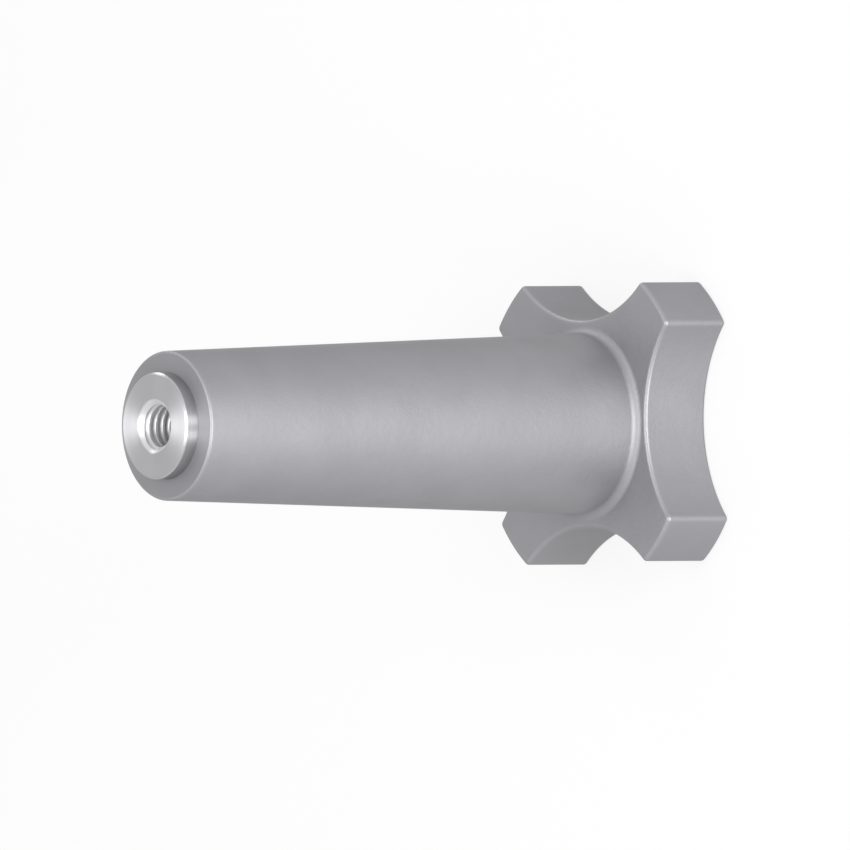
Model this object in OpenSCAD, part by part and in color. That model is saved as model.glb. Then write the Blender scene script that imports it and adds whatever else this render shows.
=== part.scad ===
// Slicer support knob: a tapered shank on a lobed head, with a threaded metal insert in the shank's end
// The knob stands on its head. Z is its axis, and Z = 0 is the flat face of the head.

/* [Shank] */
// Length of the shank, from the head to the shank's end face
shank_len = 97.5; // [60:0.5:140]
// Wall of the shank around the insert, at the end face
tip_wall = 4; // [2.5:0.1:8]
// Draft of the shank on each side, in degrees
draft = 1.7; // [0.5:0.1:3]
// Radius of the cove where the shank meets the head
cove_r = 1.6; // [0.6:0.1:3]
// Rounding of the rim round the shank's end face
tip_edge = 0.5; // [0.2:0.1:1.2]

/* [Head] */
// Thickness of the head
head_t = 14; // [8:0.5:24]
// Number of lobes
lobe_count = 4; // [3:1:5]
// How far each lobe reaches out past the bottom of the hollows
lobe_reach = 12.7; // [7:0.2:18]
// Radius of the hollows between the lobes
hollow_r = 27.2; // [20:0.5:45]
// Flat land between the cove and the rounded edge of each hollow
land = 0.1; // [0.1:0.1:4]
// Rounding of the edges on both faces of the head
head_edge = 0.7; // [0.3:0.1:1.5]
// How much larger the rounding of the lobes' upright corners is
corner_extra = 0.3; // [0.2:0.1:1.5]

/* [Insert] */
// Diameter of the insert
insert_d = 20; // [17:0.05:24]
// How far the insert stands proud of the shank's end face
insert_proud = 2.8; // [0.8:0.1:6]
// Chamfer on the insert's outer edge, at its end face
insert_edge = 0.4; // [0.2:0.1:0.8]
// Chamfer round the insert's foot, inside the body
foot_chamfer = 0.9; // [0.4:0.1:1.5]
// Plain collar of the insert just under the shank's end face
collar_len = 3; // [1.5:0.5:6]
// Width of the groove that locks the insert lengthwise
groove_w = 3.2; // [2:0.2:6]
// Depth of that groove
groove_depth = 1.2; // [0.6:0.1:2]
// Number of teeth in the straight knurl that locks the insert against turning
knurl_teeth = 32; // [20:1:48]
// Depth of the knurl's teeth
knurl_depth = 0.6; // [0.3:0.1:0.9]
// Gap between the insert and the body all round
insert_gap = 0.02; // [0.01:0.01:0.1]

/* [Thread] */
// Outer diameter of the thread that the hole takes
thread_d = 9.525; // [8:0.005:10]
// Diameter of the drilled hole, at the crests of the inner thread
tap_d = 7.94; // [6.5:0.01:8]
// Depth of the drilled hole, up to the start of its conical end
drill_depth = 20.5; // [14:0.5:30]
// Metal left behind the point of the drilled hole
end_wall = 2.5; // [1:0.1:6]
// Rim left between the thread's outer diameter and the edge of the countersink
sink_rim = 0.45; // [0.1:0.05:0.8]

/* [Hidden] */
$fn = 128;

// How far the cutting shapes run past the faces that they cut
over = 2;
// Lift that lets a rounding cross a face at a small angle
cross = 0.01;
// Included angle of the drill's point
point_angle = 118;
// Radius of the small flat that the drill's chisel edge leaves
chisel_r = 0.6;

tip_r = insert_d / 2 + tip_wall;
foot_r = tip_r + shank_len * tan(draft);
hollow_floor = foot_r + cove_r + land + head_edge;
hollow_at = hollow_floor + hollow_r;
head_r = hollow_floor + lobe_reach;
corner_r = head_edge + corner_extra;
tip_z = head_t + shank_len;

insert_r = insert_d / 2;
tap_r = tap_d / 2;
sink_r = thread_d / 2 + sink_rim;
point_h = (tap_r - chisel_r) / tan(point_angle / 2);
insert_top = tip_z + insert_proud;
insert_bottom = insert_top - drill_depth - point_h - end_wall;
groove_top = tip_z - collar_len;
knurl_top = groove_top - groove_w;

// Material outside a rounding of radius r, in the corner of two faces that meet at the origin
module corner_waste(r) {
  difference() {
    translate([-r, -r]) square(r + over);
    translate([-r, -r]) circle(r);
    translate([-r - over, -r - over]) square([over + r + over + r, over]);
    translate([-r - over, -r - over]) square([over, over + r + over + r]);
  }
}

// Half section of the blank, before the hollows are cut: the head, the cove and the tapered shank
module blank_section() {
  difference() {
    union() {
      square([head_r, head_t]);
      translate([0, head_t]) polygon([[0, 0], [foot_r, 0], [tip_r, shank_len], [0, shank_len]]);
      cove_section();
    }
    translate([head_r, head_t]) corner_waste(head_edge);
    translate([head_r, 0]) mirror([0, 1]) corner_waste(head_edge);
    translate([tip_r, tip_z]) corner_waste(tip_edge);
  }
}

// The cove runs out on the head's face and meets the shank just above it
module cove_section() {
  difference() {
    translate([foot_r - cove_r, head_t]) square([2 * cove_r, cove_r]);
    translate([foot_r + cove_r, head_t + cove_r]) circle(cove_r);
  }
}

// Half section of the cutter for one hollow, flared at both faces so that the hollow's edges come out round
module hollow_section() {
  translate([0, -over]) square([hollow_r, head_t + 2 * over]);
  flare_section();
  translate([0, head_t]) mirror([0, 1]) flare_section();
}

module flare_section() {
  difference() {
    translate([0, -over]) square([hollow_r + head_edge, over + head_edge]);
    translate([hollow_r + head_edge, head_edge - cross]) circle(head_edge);
  }
}

module hollows() {
  for (i = [0 : lobe_count - 1])
    rotate(i * 360 / lobe_count)
      translate([hollow_at, 0]) rotate_extrude() hollow_section();
}

// Round post that the lobe's corner ends in, with the head's own edge roundings at both faces
module corner_post() {
  translate([0, 0, -cross]) rotate_extrude()
    difference() {
      square([corner_r, head_t + 2 * cross]);
      translate([corner_r, head_t + 2 * cross]) corner_waste(head_edge);
      translate([corner_r, 0]) mirror([0, 1]) corner_waste(head_edge);
    }
}

// Material outside the rounding of one corner, where a hollow's wall meets the rim on one side of the hollow
module lobe_corner(side) {
  // the post stands a little proud of the rim and the wall, so that the faces cross and never just touch
  rim_gap = head_r - corner_r + cross;
  wall_gap = hollow_r + corner_r - cross;
  turn = side * acos((rim_gap * rim_gap + hollow_at * hollow_at - wall_gap * wall_gap) / (2 * rim_gap * hollow_at));
  post = rim_gap * [cos(turn), sin(turn)];
  reach = corner_r + over;
  to_rim = reach * [cos(turn), sin(turn)];
  to_wall = reach * ([hollow_at, 0] - post) / norm([hollow_at, 0] - post);
  translate([post[0], post[1], 0]) difference() {
    translate([0, 0, -over]) linear_extrude(head_t + 2 * over)
      polygon([[0, 0], to_rim, to_rim + to_wall, to_wall]);
    corner_post();
  }
}

module lobe_corners() {
  for (i = [0 : lobe_count - 1], side = [-1, 1])
    rotate(i * 360 / lobe_count) lobe_corner(side);
}

// Outline of the knurl, a ring of teeth with straight flanks
function knurl_points(crest, root) = [
  for (i = [0 : 2 * knurl_teeth - 1])
    let (r = i % 2 == 0 ? crest : root, a = i * 180 / knurl_teeth)
    [r * cos(a), r * sin(a)]
];

// The insert's outer form, grown by a gap for the pocket that holds it
module insert_form(gap) {
  knurled_band(gap);
  turned_collar(gap);
}

// Knurled lower part, with its foot chamfered so that it starts into the pocket
module knurled_band(gap) {
  foot = insert_bottom - gap;
  crest = insert_r + gap;
  band_len = knurl_top + gap - foot;
  intersection() {
    translate([0, 0, foot]) linear_extrude(band_len)
      polygon(knurl_points(crest, crest - knurl_depth));
    translate([0, 0, foot]) cylinder(r1 = crest - foot_chamfer, r2 = crest - foot_chamfer + band_len, h = band_len);
  }
}

// Collar that shows at the shank's end, and the neck of the groove below it
module turned_collar(gap) {
  r = insert_r + gap;
  neck = insert_r - groove_depth + gap;
  rotate_extrude()
    polygon([
      [0, knurl_top - over], [neck, knurl_top - over], [neck, groove_top - gap], [r, groove_top - gap],
      [r, insert_top - insert_edge], [r - insert_edge, insert_top], [0, insert_top]
    ]);
}

// Drilled and countersunk hole
module drilled_hole() {
  rotate_extrude()
    polygon([
      [0, insert_top - drill_depth - point_h], [chisel_r, insert_top - drill_depth - point_h],
      [tap_r, insert_top - drill_depth], [tap_r, insert_top - (sink_r - tap_r)],
      [sink_r, insert_top], [sink_r + over, insert_top + over], [0, insert_top + over]
    ]);
}

module knob_body() {
  color("#A6A7AB")
    difference() {
      rotate_extrude() blank_section();
      hollows();
      lobe_corners();
      insert_form(insert_gap);
    }
}

module threaded_insert() {
  color("#DADADD")
    difference() {
      insert_form(0);
      drilled_hole();
    }
}

knob_body();
threaded_insert();
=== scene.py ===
import math

import bpy
from mathutils import Matrix, Vector


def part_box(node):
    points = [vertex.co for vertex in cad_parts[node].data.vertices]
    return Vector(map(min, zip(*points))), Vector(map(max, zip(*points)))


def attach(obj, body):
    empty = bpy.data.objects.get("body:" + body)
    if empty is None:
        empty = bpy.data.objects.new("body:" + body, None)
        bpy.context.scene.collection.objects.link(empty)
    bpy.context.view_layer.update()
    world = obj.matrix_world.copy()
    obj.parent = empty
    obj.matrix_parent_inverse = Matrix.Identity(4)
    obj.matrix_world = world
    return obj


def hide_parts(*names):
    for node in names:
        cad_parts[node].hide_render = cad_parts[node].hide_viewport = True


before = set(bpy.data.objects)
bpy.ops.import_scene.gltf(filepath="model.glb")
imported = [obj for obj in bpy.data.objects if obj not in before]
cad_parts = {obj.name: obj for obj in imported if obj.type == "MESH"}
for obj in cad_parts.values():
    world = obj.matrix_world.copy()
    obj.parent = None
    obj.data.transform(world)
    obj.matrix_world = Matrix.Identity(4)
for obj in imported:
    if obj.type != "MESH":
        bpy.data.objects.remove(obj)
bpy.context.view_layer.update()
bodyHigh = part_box("knob_body")[1]
insertLow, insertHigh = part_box("threaded_insert")
mm = 0.001
near = 0.01 * mm   # points closer than this are one point
print("frame loaded, the knob stands", round(insertHigh.z / mm, 1), "mm tall")


# Helpers for modelling

def mode(name):
    bpy.ops.object.mode_set(mode=name)


def selectOnly(*pieces):
    # the first of them becomes the active one
    if bpy.context.object and bpy.context.object.mode != "OBJECT":
        mode("OBJECT")
    bpy.ops.object.select_all(action="DESELECT")
    for piece in pieces:
        piece.select_set(True)
    bpy.context.view_layer.objects.active = pieces[0] if pieces else None


def editAll(piece):
    selectOnly(piece)
    mode("EDIT")
    bpy.ops.mesh.select_all(action="SELECT")


def editWhere(piece, kind, isWanted):
    # opens edit mode with the vertices or edges selected whose points pass the test
    selectOnly(piece)
    mode("EDIT")
    bpy.ops.mesh.select_mode(type=kind)
    bpy.ops.mesh.select_all(action="DESELECT")
    mode("OBJECT")
    points = piece.data.vertices
    if kind == "VERT":
        for point in points:
            point.select = isWanted(point.co)
    else:
        for edge in piece.data.edges:
            edge.select = all(isWanted(points[i].co) for i in edge.vertices)
    mode("EDIT")


def atHeight(height):
    return lambda point: abs(point.z - height) < near


def onCircle(height, radius):
    return lambda point: abs(point.z - height) < near and abs(point.xy.length - radius) < near


def extrude(*move):
    bpy.ops.mesh.extrude_region_move(TRANSFORM_OT_translate={"value": move})


def applyModifier(piece, kind, **settings):
    selectOnly(piece)
    added = piece.modifiers.new(kind.title(), kind)
    for key, value in settings.items():
        setattr(added, key, value)
    bpy.ops.object.modifier_apply(modifier=added.name)


def cut(piece, cutter):
    applyModifier(piece, "BOOLEAN", operation="DIFFERENCE", solver="EXACT", object=cutter)
    bpy.data.objects.remove(cutter)


def arc(centre, radius, start, end, count):
    # points of an arc in its own plane, angles in degrees
    turns = [math.radians(start + (end - start) * i / count) for i in range(count + 1)]
    return [(centre[0] + radius * math.cos(a), centre[1] + radius * math.sin(a)) for a in turns]


def drawn(name, points, closed=False):
    # a plane is merged to one vertex, which is extruded from point to point; edit mode stays open
    selectOnly()
    bpy.ops.mesh.primitive_plane_add(size=mm, location=(0, 0, 0))
    piece = bpy.context.object
    piece.name = name
    editAll(piece)
    bpy.ops.mesh.select_mode(type="VERT")
    bpy.ops.mesh.merge(type="CENTER")
    bpy.ops.transform.translate(value=points[0])
    for last, point in zip(points, points[1:]):
        extrude(*(Vector(point) - Vector(last)))
    bpy.ops.mesh.select_all(action="SELECT")
    if closed:
        bpy.ops.mesh.remove_doubles(threshold=near)
    return piece


def turned(name, profile, steps):
    # spins a half section of (radius, height) points round Z, as on a lathe
    piece = drawn(name, [(radius, 0, height) for radius, height in profile])
    bpy.ops.mesh.spin(steps=steps, angle=math.tau, center=(0, 0, 0), axis=(0, 0, 1))
    bpy.ops.mesh.select_all(action="SELECT")
    bpy.ops.mesh.remove_doubles(threshold=near)
    mode("OBJECT")
    return piece


def join(piece, other):
    # other becomes part of piece
    selectOnly(piece, other)
    bpy.ops.object.join()


def filledAt(piece, height):
    # closes the flat face between the outlines that lie at one height
    editWhere(piece, "EDGE", atHeight(height))
    bpy.ops.mesh.fill()
    mode("OBJECT")


def outward(piece):
    editAll(piece)
    bpy.ops.mesh.normals_make_consistent(inside=False)
    mode("OBJECT")
    return piece


def finished(piece, smoothAngle):
    editAll(piece)
    bpy.ops.mesh.remove_doubles(threshold=near)
    outward(piece)
    bpy.ops.object.shade_smooth_by_angle(angle=math.radians(smoothAngle))
    applyModifier(piece, "WEIGHTED_NORMAL", keep_sharp=True)
    return piece


# What the insert and its pocket share: the collar, the groove and the knurl

insertSizes = {
    "radius": 10 * mm,
    "endChamfer": 0.4 * mm,
    "footChamfer": 0.9 * mm,
    "collar": 3 * mm,            # plain stretch under the shank's end face
    "grooveWidth": 3.2 * mm,
    "grooveDepth": 1.2 * mm,
    "teeth": 32,
    "toothDepth": 0.6 * mm,
    "pocketGap": 0.02 * mm,
    "steps": 192,                # points round the axis
    "smoothAngle": 28,           # edges that bend more stay sharp, in degrees
}


def lockingForm(name, start, gap):
    # start holds the profile's points above the collar's lower edge
    s = insertSizes
    crest, foot = s["radius"] + gap, insertLow.z - gap
    root, neck, footEnd = crest - s["toothDepth"], crest - s["grooveDepth"], crest - s["footChamfer"]
    grooveTop = bodyHigh.z - s["collar"] - gap
    knurlTop = bodyHigh.z - s["collar"] - s["grooveWidth"] + gap
    form = turned(name, start + [(crest, grooveTop), (neck, grooveTop), (neck, knurlTop)], s["steps"])
    ring = []
    for i in range(2 * s["teeth"] + 1):
        turn, reach = math.pi * i / s["teeth"], (crest, root)[i % 2]
        ring.append((reach * math.cos(turn), reach * math.sin(turn), knurlTop))
    band = drawn("band", ring, closed=True)
    # the chamfer's cone meets the roots lower than the crests
    chamferTop = foot + s["footChamfer"]
    extrude(0, 0, chamferTop - knurlTop)
    editWhere(band, "VERT", onCircle(chamferTop, root))
    bpy.ops.transform.translate(value=(0, 0, -s["toothDepth"]))
    # both end on one circle at the foot
    editWhere(band, "EDGE", lambda point: point.z < chamferTop + near)
    extrude(0, 0, 0)
    bpy.ops.transform.resize(value=(1, 1, 0), center_override=(0, 0, foot))
    for reach in (crest, root):
        narrow = footEnd / reach
        editWhere(band, "VERT", onCircle(foot, reach))
        bpy.ops.transform.resize(value=(narrow, narrow, 1), center_override=(0, 0, foot))
    editWhere(band, "EDGE", atHeight(foot))
    bpy.ops.mesh.edge_face_add()
    join(form, band)
    filledAt(form, knurlTop)
    return form


# The body: the lobed head and the turned shank with its pocket are one closed skin

bodySizes = {
    "tipWall": 4 * mm,            # around the insert, at the end face
    "draft": 1.7,                 # of the shank on each side, in degrees
    "tipRound": 0.5 * mm,
    "coveRadius": 1.6 * mm,
    "land": 0.1 * mm,             # flat between the cove and the hollows' rounded edges
    "headThickness": 14 * mm,
    "edgeRound": 0.7 * mm,        # both faces of the head
    "cornerRound": 1 * mm,        # upright corners of the lobes
    "hollowRadius": 27.2 * mm,
    "lobeReach": 12.7 * mm,       # past the bottoms of the hollows
    "lobes": 4,
    "hollowSteps": 72,            # into how many straight pieces each round stretch is divided
    "lobeSteps": 18,
    "cornerSteps": 10,
    "coveSteps": 10,
    "roundSteps": 6,
    "smoothAngle": 40,            # edges that bend more stay sharp, in degrees
}
slope = math.radians(bodySizes["draft"])
tipRadius = insertSizes["radius"] + bodySizes["tipWall"]
footRadius = tipRadius + (bodyHigh.z - bodySizes["headThickness"]) * math.tan(slope)
hollowFloor = footRadius + bodySizes["coveRadius"] + bodySizes["land"] + bodySizes["edgeRound"]
hollowCentre = hollowFloor + bodySizes["hollowRadius"]
headRadius = hollowFloor + bodySizes["lobeReach"]


def headOutline():
    # hollow, corner, lobe, corner: each corner's circle touches the hollow and the rim
    s = bodySizes
    hollow, corner, lobeTurn = s["hollowRadius"], s["cornerRound"], 360 / s["lobes"]
    reach = headRadius - corner
    cornerTurn = math.degrees(math.acos(
        (reach ** 2 + hollowCentre ** 2 - (hollow + corner) ** 2) / (2 * reach * hollowCentre)))
    firstTurn, nextTurn = math.radians(cornerTurn), math.radians(lobeTurn - cornerTurn)
    first = (reach * math.cos(firstTurn), reach * math.sin(firstTurn))
    following = (reach * math.cos(nextTurn), reach * math.sin(nextTurn))
    hollowTurn = math.degrees(math.atan2(first[1], first[0] - hollowCentre))
    part = arc((hollowCentre, 0), hollow, 360 - hollowTurn, hollowTurn, s["hollowSteps"])
    part += arc(first, corner, hollowTurn - 180, cornerTurn, s["cornerSteps"])[1:]
    part += arc((0, 0), headRadius, cornerTurn, lobeTurn - cornerTurn, s["lobeSteps"])[1:]
    part += arc(following, corner, lobeTurn - cornerTurn, lobeTurn + 180 - hollowTurn,
                s["cornerSteps"])[1:-1]
    outline = []
    for i in range(s["lobes"]):
        cosine, sine = math.cos(math.radians(i * lobeTurn)), math.sin(math.radians(i * lobeTurn))
        outline += [(x * cosine - y * sine, x * sine + y * cosine) for x, y in part]
    return outline + outline[:1]


def knobBody():
    s = bodySizes
    thick, top, cove, rim = s["headThickness"], bodyHigh.z, s["coveRadius"], s["tipRound"]
    # the cove and the rim's rounding both run into the shank's cone without a break
    aside = 1 / math.cos(slope) - math.tan(slope)
    profile = arc((footRadius + cove * aside, thick + cove), cove, 270, 180 + s["draft"], s["coveSteps"])
    profile += arc((tipRadius - rim * aside, top - rim), rim, s["draft"], 90, s["roundSteps"])
    profile += [(insertSizes["radius"] + insertSizes["pocketGap"], top)]
    body = lockingForm("knobBody", profile, insertSizes["pocketGap"])
    head = drawn("head", [(x, y, 0) for x, y in headOutline()], closed=True)
    bpy.ops.mesh.edge_face_add()
    extrude(0, 0, thick)
    for height in (0, thick):
        editWhere(head, "EDGE", atHeight(height))
        bpy.ops.mesh.bevel(offset=s["edgeRound"], segments=s["roundSteps"], affect="EDGES",
                           clamp_overlap=False)
    editWhere(head, "EDGE", atHeight(thick))
    bpy.ops.mesh.delete(type="ONLY_FACE")
    mode("OBJECT")
    join(body, head)
    filledAt(body, thick)
    return finished(body, s["smoothAngle"])


body = knobBody()
print("body modelled:", len(body.data.polygons), "faces")


# The insert: a turned and knurled bush with a blind threaded hole

threadSizes = {
    "outerRadius": 4.7625 * mm,   # 3/8 in, 16 threads to the inch
    "drillRadius": 3.97 * mm,
    "pitch": 1.5875 * mm,
    "flankAngle": 30,             # of each flank, in degrees
    "rootShare": 0.125,           # of the pitch, flat at the groove's bottom
    "drillDepth": 20.5 * mm,
    "threadDepth": 18.5 * mm,
    "pointAngle": 118,            # of the drill, in degrees
    "chiselRadius": 0.6 * mm,     # small flat at the drill's point
    "sinkRim": 0.45 * mm,         # countersink past the thread's outer radius
    "tapSunk": 0.02 * mm,         # how far the tap's core stays inside the drilled wall
    "over": 1 * mm,               # how far the cutters run past the end face
    "spareTurns": 2,              # of the tap, before it is cut flat
    "turnSteps": 72,
}
sinkRadius = threadSizes["outerRadius"] + threadSizes["sinkRim"]


def drill():
    s = threadSizes
    top, radius, chisel = insertHigh.z, s["drillRadius"], s["chiselRadius"]
    shoulder = top - s["drillDepth"]
    point = shoulder - (radius - chisel) / math.tan(math.radians(s["pointAngle"] / 2))
    profile = [(0, point), (chisel, point), (radius, shoulder), (radius, top - (sinkRadius - radius))]
    profile += [(sinkRadius + s["over"], top + s["over"]), (0, top + s["over"])]
    return outward(turned("drill", profile, insertSizes["steps"]))


def tap():
    # one turn of the thread's section is wound up the axis, then both ends are cut flat and closed
    s = threadSizes
    pitch, outer, inner = s["pitch"], s["outerRadius"], s["drillRadius"] - s["tapSunk"]
    start, end = insertHigh.z - s["threadDepth"], insertHigh.z + s["over"]
    flank = (outer - inner) * math.tan(math.radians(s["flankAngle"]))
    rootFlat = pitch * s["rootShare"]
    low = start - s["spareTurns"] * pitch
    heights = [low, low + flank, low + flank + rootFlat, low + 2 * flank + rootFlat, low + pitch]
    radii = [inner, outer, outer, inner, inner]
    piece = drawn("tap", [(radius, 0, height) for radius, height in zip(radii, heights)])
    mode("OBJECT")
    turns = math.ceil((end - low) / pitch) + 1
    applyModifier(piece, "SCREW", axis="Z", angle=math.tau, screw_offset=pitch, iterations=turns,
                  steps=s["turnSteps"], render_steps=s["turnSteps"], use_merge_vertices=True,
                  merge_threshold=near / 2)
    selectOnly(piece)
    mode("EDIT")
    for height, up in ((start, -1), (end, 1)):
        bpy.ops.mesh.select_all(action="SELECT")
        bpy.ops.mesh.bisect(plane_co=(0, 0, height), plane_no=(0, 0, up), use_fill=True,
                            clear_outer=True)
    mode("OBJECT")
    return outward(piece)


def threadedInsert():
    s = insertSizes
    radius, chamfer, top = s["radius"], s["endChamfer"], insertHigh.z
    start = [(0, top), (radius - chamfer, top), (radius, top - chamfer)]
    insert = outward(lockingForm("threadedInsert", start, 0))
    cut(insert, drill())
    cut(insert, tap())
    return finished(insert, s["smoothAngle"])


insert = threadedInsert()
print("insert modelled:", len(insert.data.polygons), "faces")


# Materials

class Wire:
    # a socket whose value runs on through the nodes; arithmetic on wires adds Math nodes
    def __init__(self, tree, socket=None):
        self.tree, self.socket = tree, socket

    def node(self, kind, settings=None, inputs=None, output=0):
        added = self.tree.nodes.new(kind)
        for key, value in (settings or {}).items():
            setattr(added, key, value)
        for key, value in (inputs or {}).items():
            if isinstance(value, Wire):
                self.tree.links.new(value.socket, added.inputs[key])
            else:
                added.inputs[key].default_value = value
        return Wire(self.tree, added.outputs[output] if added.outputs else None)

    def math(self, operation, *values, clamp=False):
        settings = {"operation": operation, "use_clamp": clamp}
        return self.node("ShaderNodeMath", settings, dict(enumerate(values)))

    def __add__(self, other):
        return self.math("ADD", self, other)

    def __sub__(self, other):
        return self.math("SUBTRACT", self, other)

    def __rsub__(self, other):
        return self.math("SUBTRACT", other, self)

    def __mul__(self, other):
        return self.math("MULTIPLY", self, other)

    def __truediv__(self, other):
        return self.math("DIVIDE", self, other)

    __radd__, __rmul__ = __add__, __mul__

    def __abs__(self):
        return self.math("ABSOLUTE", self)

    def lower(self, other):
        return self.math("MINIMUM", self, other)

    def higher(self, other):
        return self.math("MAXIMUM", self, other)

    def share(self):
        # held between 0 and 1
        return self.math("ADD", self, 0, clamp=True)

    def root(self):
        return self.math("SQRT", self)

    def mixed(self, low, high):
        # low where this wire is 0 and high where it is 1; 6, 7 and output 2 are the colour sockets
        return self.node("ShaderNodeMix", {"data_type": "RGBA"}, {0: self, 6: low, 7: high}, output=2)


acrossMarks = 0.25   # of a turn: highlights stretch across the marks, from the middle outwards


def newMaterial(name):
    material = bpy.data.materials.new(name)
    material.use_nodes = True
    material.node_tree.nodes.clear()
    return material, Wire(material.node_tree)


def surfaced(start, inputs):
    surface = start.node("ShaderNodeBsdfPrincipled", None, inputs)
    start.node("ShaderNodeOutputMaterial", None, {"Surface": surface})


def grey(level, tint=0.0):
    # a colour of one level, a little bluer by tint
    return (level, level, level + tint, 1)


def metalGrey(shade, s):
    # darkest where shade is -0.5 and palest where it is 0.5
    low, high = [grey(s["level"] * k, s["tint"] * k) for k in (1 - s["contrast"], 1 + s["contrast"])]
    return (shade + 0.5).share().mixed(low, high)


def noise(start, point, size, detail=2.0, roughness=0.5):
    # size is the width of one grain
    return start.node("ShaderNodeTexNoise", None,
                      {"Vector": point, "Scale": 1 / size, "Detail": detail, "Roughness": roughness})


def bumped(height, depth, strength, below=None):
    inputs = {"Height": height, "Distance": depth, "Strength": strength}
    if below:
        inputs["Normal"] = below
    return height.node("ShaderNodeBump", None, inputs)


def objectPoint(start):
    point = start.node("ShaderNodeTexCoord", output="Object")
    x, y, z = [point.node("ShaderNodeSeparateXYZ", None, {"Vector": point}, output=axis) for axis in "XYZ"]
    return point, x, y, z


def length(x, y):
    return (x * x + y * y).root()


castSizes = {
    "level": 0.285,
    "tint": 0.014,
    "contrast": 0.5,             # share by which the darkest and palest spots differ from the level
    "metal": 0.75,               # the rest is the dull oxide of the cast skin
    "glancing": 0.5,             # how far glancing light brightens the surface
    "roughness": 0.56,
    "roughnessSpread": 0.10,
    "mottle": 9 * mm,            # slow drift of the colour
    "mottleShade": 0.14,
    "grain": 0.42 * mm,
    "grainShade": 0.07,
    "grainDepth": 0.09 * mm,
    "grainBump": 0.5,
    "skin": 1.6 * mm,            # slow unevenness of the cast skin
    "skinDepth": 0.10 * mm,
    "skinBump": 0.35,
    "burnishWidth": 1.1 * mm,    # how far handling has rubbed the edges bright
    "burnishShade": 0.06,
    "burnishRoughness": 0.48,
    "burnishSmooth": 0.8,        # share of the grain that is worn off there
}


def rubbedEdges(x, y, z):
    # 1 on the edges of the head and on the shank's rim, fading to 0 away from them
    b = bodySizes
    radius = length(x, y)
    toHollow = length(abs(x) - hollowCentre, y).lower(length(x, abs(y) - hollowCentre))
    hollowGap = toHollow - b["hollowRadius"]
    rimGap = headRadius - radius
    faceGap = abs(z.lower(b["headThickness"] - z))
    headEdge = rimGap.lower(hollowGap).higher(faceGap).lower(rimGap.higher(hollowGap))
    tipEdge = abs(z - bodyHigh.z).higher(abs(radius - tipRadius))
    return (1 - headEdge.lower(tipEdge) / castSizes["burnishWidth"]).share()


def castAluminium():
    s = castSizes
    material, start = newMaterial("castAluminium")
    point, x, y, z = objectPoint(start)
    rubbed = rubbedEdges(x, y, z)
    mottle = noise(point, point, s["mottle"], detail=3)
    grain = noise(point, point, s["grain"], detail=3, roughness=0.6)
    skin = noise(point, point, s["skin"], detail=1)
    shade = (mottle - 0.5) * s["mottleShade"] + (grain - 0.5) * s["grainShade"]
    shade = shade + rubbed * s["burnishShade"]
    rough = s["roughness"] + (mottle + grain - 1) * s["roughnessSpread"]
    rough = rough * (1 - rubbed) + rubbed * s["burnishRoughness"]
    slow = bumped(skin, s["skinDepth"], s["skinBump"])
    worn = (grain - 0.5) * (1 - rubbed * s["burnishSmooth"])
    fine = bumped(worn, s["grainDepth"], s["grainBump"], below=slow)
    surfaced(start, {
        "Base Color": metalGrey(shade, s), "Metallic": s["metal"], "Roughness": rough, "Normal": fine,
        "Specular Tint": grey(s["glancing"]),
    })
    return material


def turnedFinish(point, radius, z, s):
    # marks that are the same all round the axis: rings on an end face, hoops on a side
    ring = point.node("ShaderNodeCombineXYZ", None, {"X": radius, "Z": z})
    marks = noise(point, ring, s["toolMark"], roughness=0.7)
    bands = noise(point, ring, s["band"])
    smudge = noise(point, point, s["smudge"])
    shade = (marks - 0.5) * s["markShade"] + (bands - 0.5) * s["bandShade"]
    shade = shade + (smudge - 0.5) * s["smudgeShade"]
    bump = bumped(marks, s["toolMarkDepth"], s["bump"])
    return marks, bands, metalGrey(shade, s), bump


facedSizes = {
    "level": castSizes["level"],     # the same metal as the cast skin
    "tint": castSizes["tint"],
    "metal": castSizes["metal"],
    "glancing": castSizes["glancing"],
    "contrast": 0.3,
    "roughness": 0.45,
    "roughnessSpread": 0.10,
    "stretch": 0.8,              # how far the highlights stretch
    "toolMark": 0.3 * mm,        # pitch of the marks that the lathe leaves
    "toolMarkDepth": 0.006 * mm,
    "band": 2 * mm,              # slower change of the turned finish
    "smudge": 5 * mm,
    "markShade": 0.12,           # how much each of them changes the colour
    "bandShade": 0.16,
    "smudgeShade": 0.10,
    "bump": 0.5,
}


def facedAluminium():
    # the shank's end is faced with the insert in it
    s = facedSizes
    material, start = newMaterial("facedAluminium")
    point, x, y, z = objectPoint(start)
    marks, bands, colour, bump = turnedFinish(point, length(x, y), z, s)
    rough = s["roughness"] + (marks + bands - 1) * s["roughnessSpread"]
    surfaced(start, {
        "Base Color": colour, "Metallic": s["metal"], "Roughness": rough, "Normal": bump,
        "Anisotropic": s["stretch"], "Anisotropic Rotation": acrossMarks,
        "Specular Tint": grey(s["glancing"]),
    })
    return material


steelSizes = {
    "level": 0.46,
    "tint": 0.012,
    "contrast": 0.3,
    "metal": 1.0,
    "glancing": 0.7,
    "roughness": 0.52,
    "sideRoughness": 0.31,       # of the finer cut on the outer side
    "roughnessSpread": 0.16,
    "sideSpread": 0.06,
    "stretch": 0.8,
    "toolMark": 0.22 * mm,
    "toolMarkDepth": 0.006 * mm,
    "band": 1.5 * mm,
    "smudge": 4 * mm,
    "markShade": 0.12,
    "bandShade": 0.16,
    "smudgeShade": 0.08,
    "bump": 0.6,
    "holePaintedLight": 0.74,           # painted light: paler colour inside the hole, lifting the shade that falls there
    "holeEdge": 0.3 * mm,        # over which it brightens, from the countersink's edge
}


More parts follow.
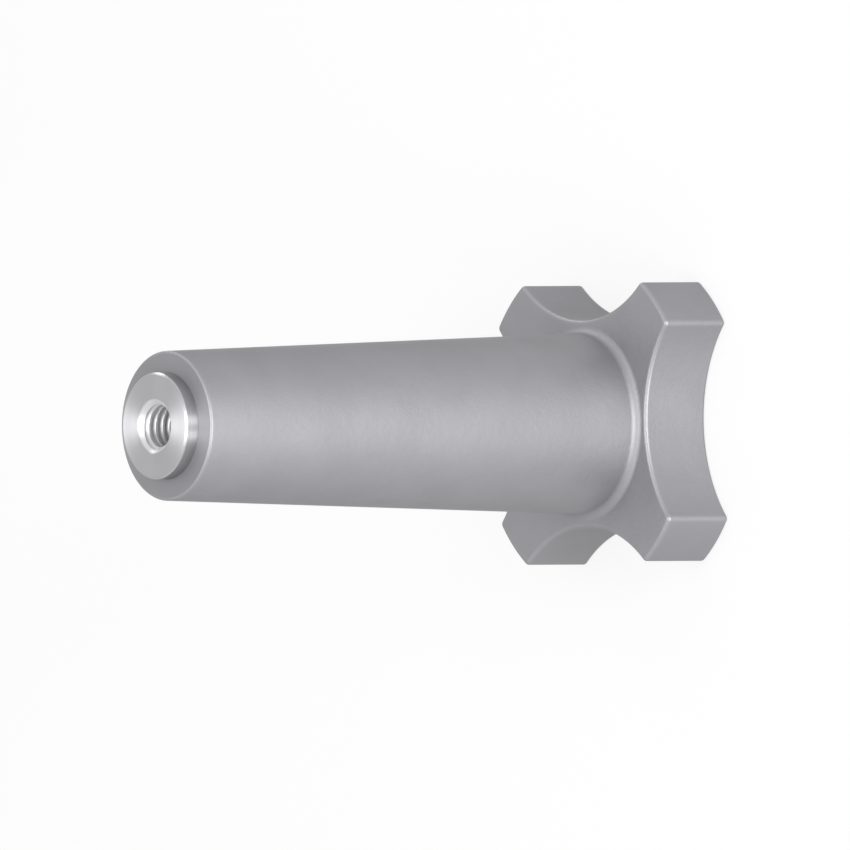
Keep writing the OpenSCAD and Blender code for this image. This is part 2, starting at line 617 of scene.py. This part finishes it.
def turnedSteel():
    s = steelSizes
    material, start = newMaterial("turnedSteel")
    point, x, y, z = objectPoint(start)
    radius = length(x, y)
    marks, bands, colour, bump = turnedFinish(point, radius, z, s)
    # painted light: the hole's inside is coloured paler, to lift the shade that falls in it
    paintedHoleLight = ((sinkRadius - radius) / s["holeEdge"]).share()
    onSide = ((radius - insertSizes["radius"]) / insertSizes["endChamfer"] + 1).share()
    onEnd = 1 - onSide
    spread = s["roughnessSpread"] * onEnd + s["sideSpread"] * onSide
    rough = s["roughness"] * onEnd + s["sideRoughness"] * onSide + (marks + bands - 1) * spread
    surfaced(start, {
        "Base Color": paintedHoleLight.mixed(colour, grey(s["holePaintedLight"], s["tint"])),
        "Metallic": s["metal"], "Roughness": rough, "Normal": bump,
        "Anisotropic": s["stretch"], "Anisotropic Rotation": acrossMarks,
        "Specular Tint": grey(s["glancing"]),
    })
    return material


def faceEnd(piece, material):
    # the flat ring round the insert takes a finish of its own
    piece.data.materials.append(material)
    levelUp = 0.999   # a level face's normal points up by at least this much
    for face in piece.data.polygons:
        if face.normal.z > levelUp and face.center.z > bodyHigh.z - near:
            face.material_index = 1


body.data.materials.append(castAluminium())
faceEnd(body, facedAluminium())
insert.data.materials.append(turnedSteel())
for piece, node, slot in (
    (body, "knob_body", "cast_body"),
    (insert, "threaded_insert", "turned_insert"),
):
    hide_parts(node)
    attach(piece, "root")
print("materials made")


# Floor, world, lamps and camera

stageSizes = {
    "floorSide": 12,
    "floorLevel": 0.72,
    "floorGlow": 0.79,          # share of plain white that the camera and reflections see on the floor
    "worldLevel": 0.65,
}

lampSizes = {
    # azimuth 90 is the side that the camera looks from, and size is width and height
    "frontLeft": {"azimuth": 71, "elevation": 7, "distance": 1.0, "size": (0.28, 0.34), "power": 5.2},
    "frontRight": {"azimuth": 99, "elevation": 7, "distance": 1.0, "size": (0.28, 0.34), "power": 5.2},
    "overhead": {"azimuth": 90, "elevation": 80, "distance": 0.8, "size": (0.5, 0.5), "power": 4.4},
    "back": {"azimuth": 222, "elevation": 8, "distance": 1.0, "size": (0.3, 0.36), "power": 1.5},
}


def seenPlainly(start):
    # 1 for what the camera sees, straight or through a reflection
    camera, glossy, through = [start.node("ShaderNodeLightPath", output=name)
                               for name in ("Is Camera Ray", "Is Glossy Ray", "Is Transmission Ray")]
    return camera.higher(glossy).higher(through)


def paleFloor():
    selectOnly()
    bpy.ops.mesh.primitive_plane_add(size=stageSizes["floorSide"], location=(0, 0, 0))
    floor = bpy.context.object
    floor.name = "floor"
    material, start = newMaterial("paleFloor")
    matt = start.node("ShaderNodeBsdfDiffuse", None, {"Color": grey(stageSizes["floorLevel"])})
    white = start.node("ShaderNodeEmission", None, {"Color": grey(1), "Strength": 1.0})
    share = seenPlainly(start) * stageSizes["floorGlow"]
    surface = start.node("ShaderNodeMixShader", None, {0: share, 1: matt, 2: white})
    start.node("ShaderNodeOutputMaterial", None, {"Surface": surface})
    material.cycles.emission_sampling = "NONE"   # the floor is a background, and no lamp
    floor.data.materials.append(material)


def paleWorld():
    world = bpy.data.worlds.new("studio")
    bpy.context.scene.world = world
    world.use_nodes = True
    world.node_tree.nodes.clear()
    start = Wire(world.node_tree)
    light, white = [start.node("ShaderNodeBackground", None, {"Color": grey(1), "Strength": strength})
                    for strength in (stageSizes["worldLevel"], 1.0)]
    surface = start.node("ShaderNodeMixShader", None, {0: seenPlainly(start), 1: light, 2: white})
    start.node("ShaderNodeOutputWorld", None, {"Surface": surface})


def softbox(name, aim, azimuth, elevation, distance, size, power):
    turn, rise = math.radians(azimuth), math.radians(elevation)
    away = Vector((math.sin(turn) * math.cos(rise), -math.cos(turn) * math.cos(rise), math.sin(rise)))
    bpy.ops.object.light_add(type="AREA", location=aim + away * distance)
    lamp = bpy.context.object
    lamp.name = name
    lamp.rotation_euler = away.to_track_quat("Z", "Y").to_euler()
    lamp.data.shape = "RECTANGLE"
    lamp.data.size, lamp.data.size_y = size
    lamp.data.energy = power
    lamp.visible_camera = False


cameraSizes = {
    "lineOfSight": 53,           # degrees between the knob's axis and the line of sight
    "headTurn": 0.92,            # degrees that the head is turned round its axis, against the camera
    "roll": -0.3,                # of the picture, in degrees
    "frameWidth": 158.7 * mm,    # what the picture's width takes in at the knob
    "headRight": 0.186,          # middle of the head's near face, from the picture's centre,
    "headUp": 0.0016,            # as shares of the picture's width
    "distance": 0.6,             # the view is a parallel one, so it changes nothing in the picture
    "nearest": 0.05,             # what lies between these two distances is drawn
    "farthest": 20,
}


def knobCamera():
    s = cameraSizes
    tilt, turn, roll = [math.radians(s[key]) for key in ("lineOfSight", "headTurn", "roll")]
    spun = Matrix.Rotation(-turn, 3, "Z")
    # the knob's axis lies level in the picture, with its small end at the left
    back = spun @ Vector((math.sin(tilt), 0, math.cos(tilt)))
    level = spun @ Vector((math.cos(tilt), 0, -math.sin(tilt)))
    across = spun @ Vector((0, 1, 0))
    right = level * math.cos(roll) + across * math.sin(roll)
    up = across * math.cos(roll) - level * math.sin(roll)
    place = Vector((0, 0, bodySizes["headThickness"])) + back * s["distance"]
    place -= right * (s["headRight"] * s["frameWidth"]) + up * (s["headUp"] * s["frameWidth"])
    data = bpy.data.cameras.new("camera")
    data.type = "ORTHO"
    data.ortho_scale = s["frameWidth"]
    data.clip_start, data.clip_end = s["nearest"], s["farthest"]
    camera = bpy.data.objects.new("camera", data)
    bpy.context.scene.collection.objects.link(camera)
    camera.matrix_world = Matrix((right, up, back)).transposed().to_4x4()
    camera.location = place
    bpy.context.scene.camera = camera


paleFloor()
paleWorld()
middle = Vector((0, 0, insertHigh.z / 2))
for name, lamp in lampSizes.items():
    softbox(name, middle, **lamp)
knobCamera()
bpy.context.scene.view_settings.view_transform = "Standard"
print("floor, lamps and camera placed")
